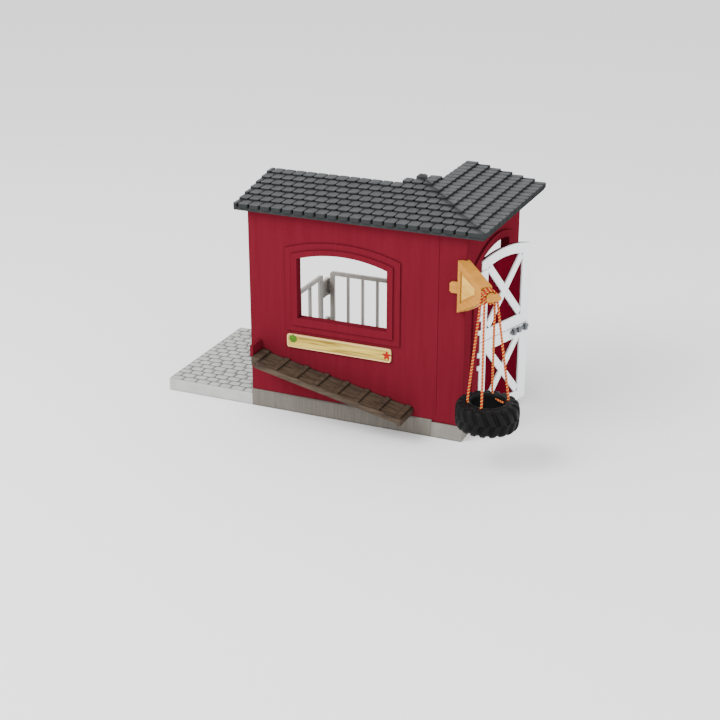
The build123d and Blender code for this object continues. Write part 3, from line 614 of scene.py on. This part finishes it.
sign_rim = moulded(
    "sign_rim", (0.74, 0.51, 0.22), (0.64, 0.42, 0.16), rough=0.5, grain=(60, 60, 60), bump=0.1, shine=0.1
)
sign_tan = moulded(
    "sign_tan",
    (0.64, 0.46, 0.088),
    (0.20, 0.125, 0.018),
    rough=0.5,
    grain=(22, 200, 520),
    bump=0.15,
    shine=0.1,
    mottle=0.3,
)
leaf_green = moulded(
    "leaf_green",
    (0.065, 0.17, 0.014),
    (0.040, 0.11, 0.009),
    rough=0.5,
    grain=(200, 200, 200),
    bump=0.1,
    shine=0.1,
)
flower_red = moulded(
    "flower_red",
    (0.36, 0.012, 0.007),
    (0.26, 0.008, 0.005),
    rough=0.5,
    grain=(200, 200, 200),
    bump=0.1,
    shine=0.1,
)
dress(sign_rim, "sign_board")
sign_low, sign_high = [np.array(corner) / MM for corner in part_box("sign_board")]


def rounded_outline(low_x, high_x, low_z, high_z, corner):
    """Points (x, z) round a rectangle whose corners are quarter circles."""
    start = np.repeat([0, 90, 180, 270], CORNER_POINTS)
    turn = np.radians(start + np.tile(np.linspace(0, 90, CORNER_POINTS), 4))
    middle_x = np.repeat([high_x - corner, low_x + corner, low_x + corner, high_x - corner], CORNER_POINTS)
    middle_z = np.repeat([high_z - corner, high_z - corner, low_z + corner, low_z + corner], CORNER_POINTS)
    return np.stack([middle_x + corner * np.cos(turn), middle_z + corner * np.sin(turn)], axis=-1)


def petal_outline(middle_x, middle_z, petals, depth):
    """Points (x, z) whose distance from the middle is radius * (1 - depth + depth * cos(petals * t))."""
    turn = 2 * np.pi * np.arange(EMBLEM_POINTS) / EMBLEM_POINTS
    reach = EMBLEM_RADIUS * (1 - depth + depth * np.cos(petals * turn))
    return np.stack([middle_x + reach * np.sin(turn), middle_z + reach * np.cos(turn)], axis=-1)


sign_outline = rounded_outline(
    sign_low[0] + SIGN_RIM,
    sign_high[0] - SIGN_RIM,
    sign_low[2] + SIGN_RIM,
    sign_high[2] - SIGN_RIM,
    SIGN_CORNER,
)
sign_back = upright(sign_outline, sign_low[1] + SIGN_BACK)
sign_front = upright(sign_outline, sign_low[1] + SIGN_DEPTH)
mesh_piece("sign_face", *plate(sign_back, sign_front), [sign_tan], "sign_tan")
for emblem, middle_x, middle_z, petals, depth, paint in (
    ("sign_leaf", LEFT + 139.4, 76.4, 7, 0.09, leaf_green),
    ("sign_flower", LEFT + 234.8, 74.1, 5, 0.26, flower_red),
):
    emblem_outline = petal_outline(middle_x, middle_z, petals, depth)
    emblem_back = upright(emblem_outline, sign_low[1] + EMBLEM_BACK)
    emblem_front = upright(emblem_outline, sign_low[1] - EMBLEM_PROUD)
    mesh_piece(emblem, *plate(emblem_back, emblem_front), [paint], "sign_tan")

# Ramp. A climbing plank of dark brown plastic, moulded as rough wood with a rim and battens. Two
# pegs on its back plug into the front wall.
# Its low crease share paints deep shade along the battens and the rim.
ramp_brown = moulded(
    "ramp_brown",
    (0.070, 0.050, 0.034),
    (0.020, 0.0135, 0.0095),
    rough=0.6,
    grain=(40, 420, 300),
    bump=0.8,
    shine=0.12,
    mottle=0.4,
    crease=0.25,
)
dress(ramp_brown, "ramp")

# Barn door. Two leaves of crimson board, each in a white frame with crossed bars and hinge straps,
# that turn on metal-grey pins in the side wall's knuckles.
door_red = moulded(
    "door_red",
    (0.088, 0.0028, 0.009),
    (0.050, 0.0018, 0.0055),
    rough=0.6,
    grain=(300, 300, 16),
    bump=0.3,
    shine=0.0,
)
trim_white = moulded(
    "trim_white",
    (0.86, 0.885, 0.90),
    (0.80, 0.825, 0.85),
    rough=0.42,
    grain=(60, 60, 20),
    bump=0.05,
    edge=0.4,
    crease=0.7,
)
dress(door_red, "door_upper_panel", "door_lower_panel")
dress(trim_white, "door_upper_frame", "door_lower_frame")

# Bolt. A grey plastic bolt with a knob, that slides in two guides on the lower leaf's top rail into
# a keeper on the wall.
metal_grey = moulded(
    "metal_grey",
    (0.092, 0.100, 0.108),
    (0.052, 0.058, 0.064),
    rough=0.38,
    grain=(200, 200, 200),
    bump=0.1,
    edge=0.3,
    shine=0.6,
)
dress(metal_grey, "hinge_pins", "bolt", "bolt_guides", "bolt_keeper")

# Hoist arm. A wedge of tan plastic that clips round the shed's front corner and points outwards at
# 45 degrees. Each side has a recessed field, left bare, with a paler wood colour.
ARM_ROOT = np.array([LEFT + 307.8, FRONT, 0.0])
ARM_TURN = math.radians(45)
ARM_OUT = np.array([math.cos(ARM_TURN), -math.sin(ARM_TURN), 0.0])
ARM_SIDE = np.array([-math.sin(ARM_TURN), -math.cos(ARM_TURN), 0.0])
UP = np.array([0.0, 0.0, 1.0])
FIELD_OUTLINE = np.array([(4.6, 140.4), (4.6, 164.9), (30.4, 159.9), (30.4, 154.9)])
FIELD_BACK = 3.9
FIELD_FACE = 4.42

arm_tan = moulded(
    "arm_tan",
    (0.50, 0.220, 0.036),
    (0.38, 0.155, 0.022),
    rough=0.5,
    grain=(60, 60, 420),
    bump=0.2,
    edge=0.5,
    shine=0.1,
)
field_tan = moulded(
    "field_tan",
    (0.74, 0.44, 0.085),
    (0.50, 0.25, 0.040),
    rough=0.5,
    grain=(40, 40, 300),
    bump=0.15,
    shine=0.1,
)
dress(arm_tan, "hoist_arm")


def on_arm(s, n, z):
    """Points given as s out along the arm, n to its side and z up."""
    s, n, z = np.broadcast_arrays(s, n, z)
    return ARM_ROOT + s[..., None] * ARM_OUT + n[..., None] * ARM_SIDE + z[..., None] * UP


for side_name, way in (("near", 1), ("far", -1)):
    field_back = on_arm(FIELD_OUTLINE[:, 0], way * FIELD_BACK, FIELD_OUTLINE[:, 1])
    field_face = on_arm(FIELD_OUTLINE[:, 0], way * FIELD_FACE, FIELD_OUTLINE[:, 1])
    mesh_piece(f"arm_field_{side_name}", *plate(field_back, field_face), [field_tan], "arm_tan")

# Tyre. A wheel of soft black plastic that hangs flat as a swing. Its tread carries two rows of
# slanted lugs, half a pitch apart, and its wall a shallow step.
TYRE_MIDDLE = np.array([LEFT + 345.0, FRONT - 35.4, 0.0])
TYRE_FOOT = 37.4
TYRE_TOP = 62.4
TYRE_RADIUS = 28.5
TYRE_HOLE = 15.2
TYRE_HALF = (TYRE_TOP - TYRE_FOOT) / 2
TYRE_TURNS = 432
LUGS = 18
LUG_SLANT = 0.016
LUG_SHARPNESS = 3.2
LUG_SHARE = 0.35
MIDDLE_DEPTH = 0.55
MIDDLE_REACH = 1.6
SHOULDER_START = 10.5
SHOULDER_SINK = 0.55
# Share of the way from hole to tread, share of the half height, and the lugs' depth in millimetres.
HALF_PROFILE = np.array(
    [
        (0.0, 0.0, 0.0),
        (0.0, 0.7, 0.0),
        (0.01, 0.89, 0.0),
        (0.05, 0.97, 0.0),
        (0.12, 1.0, 0.0),
        (0.24, 1.0, 0.0),
        (0.29, 0.965, 0.0),
        (0.34, 0.955, 0.0),
        (0.42, 0.965, 0.0),
        (0.50, 0.97, 0.2),
        (0.60, 0.975, 1.0),
        (0.69, 0.965, 1.9),
        (0.77, 0.94, 2.3),
        (0.85, 0.88, 2.4),
        (0.915, 0.79, 2.4),
        (0.96, 0.69, 2.4),
        (0.98, 0.57, 2.4),
        (0.99, 0.46, 2.4),
        (0.995, 0.34, 2.4),
        (1.0, 0.23, 2.4),
        (1.0, 0.11, 2.4),
        (1.0, 0.045, 2.4),
        (1.0, 0.002, 2.4),
    ]
)


def tyre_grid(profile, turns):
    """Points of the tyre for a profile of (radius, height, depth) turned about its upright axis.

    A lug leans with the height h: at the turn t it has the phase t + slant * |h|, half a pitch on in
    the lower row. The surface is sunk by depth * (1 - high), where high is a smooth step of the cosine
    of LUGS times that phase, less near the middle of the tread, and on the shoulders downwards too.
    """
    radius, height, depth = profile.T[:, :, None]
    half = np.where(height >= 0, 1, -1)
    lean = turns[None, :] + half * LUG_SLANT * height + np.where(half > 0, 0, math.pi / LUGS)
    high = 0.5 + 0.5 * np.tanh(LUG_SHARPNESS * (np.cos(LUGS * lean) + LUG_SHARE))
    from_middle = np.minimum(1.0, np.abs(height) / MIDDLE_REACH)
    sunk = depth * (1 - high) * (MIDDLE_DEPTH + (1 - MIDDLE_DEPTH) * from_middle)
    x = (radius - sunk) * np.cos(turns)
    y = (radius - sunk) * np.sin(turns)
    z = height - np.where(np.abs(height) > SHOULDER_START, SHOULDER_SINK * sunk * half, 0.0)
    return np.stack([x, y, z], axis=-1) + TYRE_MIDDLE + (TYRE_FOOT + TYRE_TOP) / 2 * UP


tyre_black = moulded(
    "tyre_black",
    (0.0050, 0.0050, 0.0054),
    (0.0030, 0.0030, 0.0034),
    rough=0.5,
    grain=(120, 120, 120),
    bump=0.2,
    shine=0.08,
)
dress(tyre_black, "tyre")
upper_profile = HALF_PROFILE * (TYRE_RADIUS - TYRE_HOLE, TYRE_HALF, 1.0) + (TYRE_HOLE, 0.0, 0.0)
tyre_profile = np.concatenate([upper_profile, upper_profile[:0:-1] * (1, -1, 1)])
tyre_points = tyre_grid(tyre_profile, 2 * np.pi * np.arange(TYRE_TURNS) / TYRE_TURNS)
tyre_faces = grid_faces(len(tyre_profile), TYRE_TURNS, round_columns=True, round_rows=True).tolist()
tyre_piece = mesh_piece(
    "tyre_lugged", tyre_points.reshape(-1, 3), tyre_faces, [tyre_black], "tyre_black", "swing", smooth=True
)
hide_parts("tyre")

# Swing rope. Orange cord with a pale fleck, laid up from three strands. It winds three times round
# the arm's neck, and two bights of it go down into the tyre, across inside it and up again.
ROPE_DIAMETER = 2.2
ROPE_STEP = 0.25
LAY_LENGTH = 3.0
STRANDS = 3
STRAND_SIDES = 8
STRAND_SHARE = 0.25
STRAND_SPREAD = 1.35
ORANGE_PAINT = 0
PALE_PAINT = 1
NECK_Z = 159.3
NECK_START = 44.0
NECK_RADIUS = 4.2
NECK_PLAY = 0.06
NECK_GAP = 0.45
TURN_RADIUS = NECK_RADIUS + NECK_PLAY + ROPE_DIAMETER / 2
TURN_START = NECK_START + ROPE_DIAMETER / 2 + NECK_GAP
TURN_PITCH = 2.85
TURNS = 3
TURN_POINTS = 12
SPLINE_PULL = 1.03
STRAND_DROP = 1.5
MOUTH_RADIUS = 18.3
MOUTH_DEPTH = 4.5
STRAIGHT = 6 * ROPE_DIAMETER
# Turns of the winding before the strand leaves it, side of the arm, and degrees round the tyre.
LEFT_STRAND = (0, 1, -151.8)
NEAR_STRAND = (2, 1, -88.6)
FAR_STRAND = (1.5, -1, 97.1)
RIGHT_STRAND = (2.9, -1, 24.6)

rope_orange = moulded(
    "rope_orange",
    (0.50, 0.042, 0.008),
    (0.36, 0.026, 0.006),
    rough=0.7,
    grain=(900, 900, 900),
    bump=0.3,
    shine=0.05,
)
rope_pale = moulded(
    "rope_pale",
    (0.74, 0.42, 0.13),
    (0.60, 0.30, 0.08),
    rough=0.7,
    grain=(900, 900, 900),
    bump=0.3,
    shine=0.05,
)


def spline_line(name, route):
    """The smooth line of a NURBS spline that has a route's points as its control points."""
    curve = bpy.data.curves.new(name, "CURVE")
    curve.dimensions = "3D"
    curve.resolution_u = 24
    spline = curve.splines.new("NURBS")
    spline.points.add(len(route) - 1)
    weighted = np.concatenate([MM * np.array(route), np.ones((len(route), 1))], axis=1)
    spline.points.foreach_set("co", weighted.ravel())
    spline.order_u = 3
    spline.use_endpoint_u = True
    holder = bpy.data.objects.new(name, curve)
    mesh = bpy.data.meshes.new_from_object(holder)
    line = np.empty(3 * len(mesh.vertices), dtype=np.float32)
    mesh.vertices.foreach_get("co", line)
    bpy.data.objects.remove(holder)
    bpy.data.meshes.remove(mesh)
    return line.reshape(-1, 3).astype(float) / MM


def even_line(line):
    """The same line with points a steady step apart, and its length."""
    runs = np.linalg.norm(np.diff(line, axis=0), axis=1)
    line = line[np.concatenate([[True], runs > 1e-6])]
    reach = np.concatenate([[0], np.cumsum(np.linalg.norm(np.diff(line, axis=0), axis=1))])
    places = np.linspace(0, reach[-1], int(reach[-1] / ROPE_STEP) + 1)
    return np.stack([np.interp(places, reach, axis) for axis in line.T], axis=1), reach[-1]


def unit(ways):
    """Directions of length 1."""
    return ways / np.linalg.norm(ways, axis=1)[:, None]


def strand_grids(line, bend_axis):
    """The three strands' skins, for places p along the rope's line and turns q round each strand.

    Across the line at p lie the two directions square to it, over being the one nearest the bend's
    axis. Out(p) turns through them once in every lay length, a third of a turn on from strand to
    strand, and beside(p) is square to it. The skin is
    line(p) + r * out + r * cos(q) * out + spread * r * sin(q) * beside.
    """
    ways = unit(np.gradient(line, axis=0))
    over = unit(bend_axis - (ways @ bend_axis)[:, None] * ways)
    across = np.cross(over, ways)
    radius = STRAND_SHARE * ROPE_DIAMETER
    lay = np.arange(len(line)) * ROPE_STEP / LAY_LENGTH + np.arange(STRANDS)[:, None] / STRANDS
    turn = 2 * np.pi * lay[..., None]
    out = np.cos(turn) * across + np.sin(turn) * over
    beside = np.cos(turn) * over - np.sin(turn) * across
    q = (2 * np.pi * np.arange(STRAND_SIDES) / STRAND_SIDES)[:, None]
    skin = (1 + np.cos(q)) * out[:, :, None] + STRAND_SPREAD * np.sin(q) * beside[:, :, None]
    return line[:, None] + radius * skin


def laid_rope(node, route, bend_axis):
    """A three-strand rope along a route, in place of a CAD node.

    The first strand is pale, with its two caps, and the others are orange.
    """
    line, length = even_line(spline_line(f"{node}_line", route))
    skins = strand_grids(line, bend_axis)
    step = len(line) * STRAND_SIDES
    faces = repeated(grid_faces(len(line), STRAND_SIDES, round_columns=True), STRANDS, step)
    caps = [np.arange(STRAND_SIDES)[::-1], np.arange(step - STRAND_SIDES, step)]
    strand_paints = np.where(np.arange(STRANDS) == 0, PALE_PAINT, ORANGE_PAINT)
    paints = np.concatenate([np.repeat(strand_paints, len(faces) // STRANDS), np.repeat(strand_paints, 2)])
    faces += repeated(caps, STRANDS, step)
    piece = mesh_piece(
        f"{node}_laid",
        skins.reshape(-1, 3),
        faces,
        [rope_orange, rope_pale],
        "rope_fibre",
        "swing",
        paints=paints.tolist(),
        smooth=True,
    )
    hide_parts(node)


def bight(first_strand, second_strand):
    """Route of a bight: down from the winding, across inside the tyre and up, and its bend's axis.

    On each of its two straight strands one more point lies six diameters from the winding and one
    six diameters from the tyre.
    """
    ends = []
    for turns_before, side, turn_degrees in (first_strand, second_strand):
        s = TURN_START + turns_before * TURN_PITCH
        top = on_arm(s, side * TURN_RADIUS, NECK_Z - STRAND_DROP)
        turn = math.radians(turn_degrees)
        mouth = TYRE_MIDDLE + MOUTH_RADIUS * np.array([math.cos(turn), math.sin(turn), 0.0]) + TYRE_TOP * UP
        down = (mouth - top) / np.linalg.norm(mouth - top)
        ends.append([top, top + STRAIGHT * down, mouth - STRAIGHT * down, mouth + MOUTH_DEPTH * down])
    route = np.array(ends[0] + ends[1][::-1])
    bend_axis = np.cross(route[4] - route[3], UP)
    return route, bend_axis / np.linalg.norm(bend_axis)


winding_turn = 2 * np.pi * np.arange(TURN_POINTS * TURNS + 1) / TURN_POINTS
winding_route = on_arm(
    TURN_START + TURN_PITCH * winding_turn / (2 * np.pi),
    SPLINE_PULL * TURN_RADIUS * np.cos(winding_turn),
    NECK_Z + SPLINE_PULL * TURN_RADIUS * np.sin(winding_turn),
)
laid_rope("rope_winding", winding_route, ARM_OUT)
laid_rope("rope_front", *bight(LEFT_STRAND, NEAR_STRAND))
laid_rope("rope_back", *bight(FAR_STRAND, RIGHT_STRAND))

# Pen. Light grey plastic rails with round bars: a fixed side panel in the base plate, and a long
# gate that turns in clips at the panel's rear end.
pen_grey = moulded(
    "pen_grey",
    (0.36, 0.335, 0.30),
    (0.26, 0.24, 0.215),
    rough=0.34,
    grain=(120, 120, 30),
    bump=0.08,
    edge=0.6,
    shine=0.6,
)
dress(pen_grey, "pen_side", "pen_gate", "pen_clips")

# Studio, in metres. A pale floor, a soft key light from the upper left, weak fills from the front
# and the right, and a bright even sky.
FLOOR_HALF = 6.0
FLOOR_WHITE = (0.94, 0.94, 0.955, 1)
FLOOR_ROUGHNESS = 0.8
SKY_WHITE = (1.0, 1.0, 1.0, 1)
SKY_STRENGTH = 1.5
LAMP_TARGET = (0, 0, 0.08)
floor_mesh = bpy.data.meshes.new("floor")
floor_corners = FLOOR_HALF * np.array([(-1, -1, 0), (1, -1, 0), (1, 1, 0), (-1, 1, 0)])
floor_mesh.from_pydata(floor_corners.tolist(), [], [(0, 1, 2, 3)])
floor = bpy.data.objects.new("floor", floor_mesh)
bpy.context.scene.collection.objects.link(floor)
floor_paint = bpy.data.materials.new("floor_paint")
floor_paint.use_nodes = True
floor_paint.node_tree.nodes["Principled BSDF"].inputs["Base Color"].default_value = FLOOR_WHITE
floor_paint.node_tree.nodes["Principled BSDF"].inputs["Roughness"].default_value = FLOOR_ROUGHNESS
floor_mesh.materials.append(floor_paint)

world = bpy.data.worlds.new("sky")
bpy.context.scene.world = world
world.use_nodes = True
world.node_tree.nodes["Background"].inputs["Color"].default_value = SKY_WHITE
world.node_tree.nodes["Background"].inputs["Strength"].default_value = SKY_STRENGTH


def point_at(holder, place, target):
    """Puts a lamp or a camera at a place and turns it to face a target."""
    way = np.array(target) - np.array(place)
    holder.location = place
    tip = math.atan2(math.hypot(way[0], way[1]), -way[2])
    holder.rotation_euler = (tip, 0, math.atan2(way[1], way[0]) - math.pi / 2)
    bpy.context.scene.collection.objects.link(holder)


for name, place, size, power in (
    ("key", (-0.7, -1.0, 1.3), 0.9, 31),
    ("fill", (0.5, -1.3, 0.5), 1.0, 4),
    ("side", (1.5, -0.3, 0.5), 1.0, 8),
):
    lamp = bpy.data.lights.new(name, "AREA")
    lamp.size = size
    lamp.energy = power
    point_at(bpy.data.objects.new(name, lamp), place, LAMP_TARGET)

# Camera, in metres. It stands where the photo's camera stood, worked out from the shed's straight
# edges.
CAMERA_PLACE = (0.5551, -1.2393, 0.5851)
CAMERA_TARGET = (-0.0278, 0.1107, -0.0187)
CAMERA_LENS = 73.66
CAMERA_SENSOR = 36.0
NEAREST_SEEN = 0.05

camera_data = bpy.data.cameras.new("camera")
camera_data.lens = CAMERA_LENS
camera_data.sensor_width = CAMERA_SENSOR
camera_data.clip_start = NEAREST_SEEN
camera = bpy.data.objects.new("camera", camera_data)
point_at(camera, CAMERA_PLACE, CAMERA_TARGET)
bpy.context.scene.camera = camera
